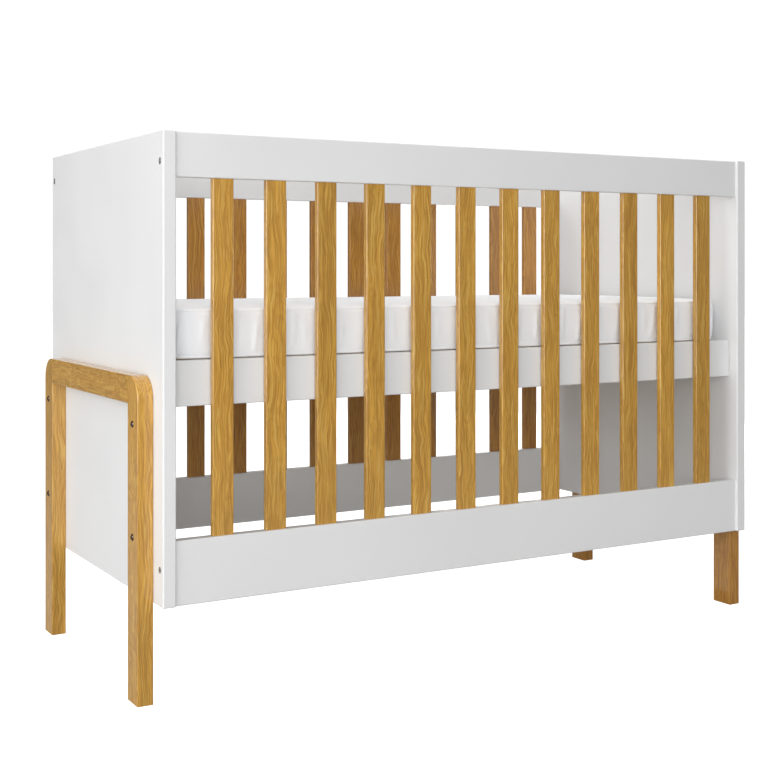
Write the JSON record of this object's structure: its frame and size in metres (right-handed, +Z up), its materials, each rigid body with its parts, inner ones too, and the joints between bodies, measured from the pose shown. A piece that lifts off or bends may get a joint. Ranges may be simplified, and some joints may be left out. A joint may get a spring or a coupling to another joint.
{
  "type": "baby crib",
  "caption": "Baby crib with solid white end panels, slatted long sides, wooden inverted-U leg frames at the ends, a height-adjustable slatted base and a mattress.",
  "frame": {"origin": "on the floor, at the centre of the footprint", "axes": "+X along the length towards the right end panel, +Y from the front side to the rear side, +Z up"},
  "size_m": [1.4238, 0.664, 0.994],
  "materials": {
    "white_board": "white satin lacquer on fibreboard",
    "oak_wood": "clear satin lacquer, golden oak",
    "pine_wood": "planed, unfinished pine",
    "dowel_wood": "fluted beech dowel, unfinished",
    "bolt_steel": "zinc-plated steel",
    "insert_brass": "machined brass",
    "mattress_cover": "white woven cover"
  },
  "bodies": {
    "crib_frame": {"end_panel_left": "white_board", "end_panel_right": "white_board", "front_top_rail": "white_board", "front_bottom_rail": "white_board", "rear_top_rail": "white_board", "rear_bottom_rail": "white_board", "front_slat_01": "oak_wood", "front_slat_02": "oak_wood", "front_slat_03": "oak_wood", "front_slat_04": "oak_wood", "front_slat_05": "oak_wood", "front_slat_06": "oak_wood", "front_slat_07": "oak_wood", "front_slat_08": "oak_wood", "front_slat_09": "oak_wood", "front_slat_10": "oak_wood", "front_slat_11": "oak_wood", "front_slat_12": "oak_wood", "rear_slat_01": "oak_wood", "rear_slat_02": "oak_wood", "rear_slat_03": "oak_wood", "rear_slat_04": "oak_wood", "rear_slat_05": "oak_wood", "rear_slat_06": "oak_wood", "rear_slat_07": "oak_wood", "rear_slat_08": "oak_wood", "rear_slat_09": "oak_wood", "rear_slat_10": "oak_wood", "rear_slat_11": "oak_wood", "rear_slat_12": "oak_wood", "left_front_leg": "oak_wood", "left_rear_leg": "oak_wood", "left_crossbar": "oak_wood", "right_front_leg": "oak_wood", "right_rear_leg": "oak_wood", "right_crossbar": "oak_wood", "panel_bolts": "bolt_steel", "barrel_nuts": "bolt_steel", "leg_bolts": "bolt_steel", "leg_inserts": "insert_brass", "height_inserts": "insert_brass", "frame_dowels": "dowel_wood"},
    "mattress_base": {"base_front_board": "white_board", "base_front_cleat": "pine_wood", "base_rear_board": "white_board", "base_rear_cleat": "pine_wood", "base_left_board": "white_board", "base_right_board": "white_board", "base_slat_1": "pine_wood", "base_slat_2": "pine_wood", "base_slat_3": "pine_wood", "base_slat_4": "pine_wood", "base_slat_5": "pine_wood", "base_slat_6": "pine_wood", "base_slat_7": "pine_wood", "base_slat_8": "pine_wood", "base_slat_9": "pine_wood", "base_dowels": "dowel_wood", "base_bolts": "bolt_steel"},
    "mattress": {"mattress": "mattress_cover"}
  },
  "joints": [
    {"name": "base_height", "type": "slide", "parent": "crib_frame", "child": "mattress_base", "axis": [0, 0, 1], "range_m": [-0.22, 0]},
    {"name": "mattress_lift", "type": "slide", "parent": "mattress_base", "child": "mattress", "axis": [0, 0, 1], "range_m": [0, 0.42]}
  ]
}
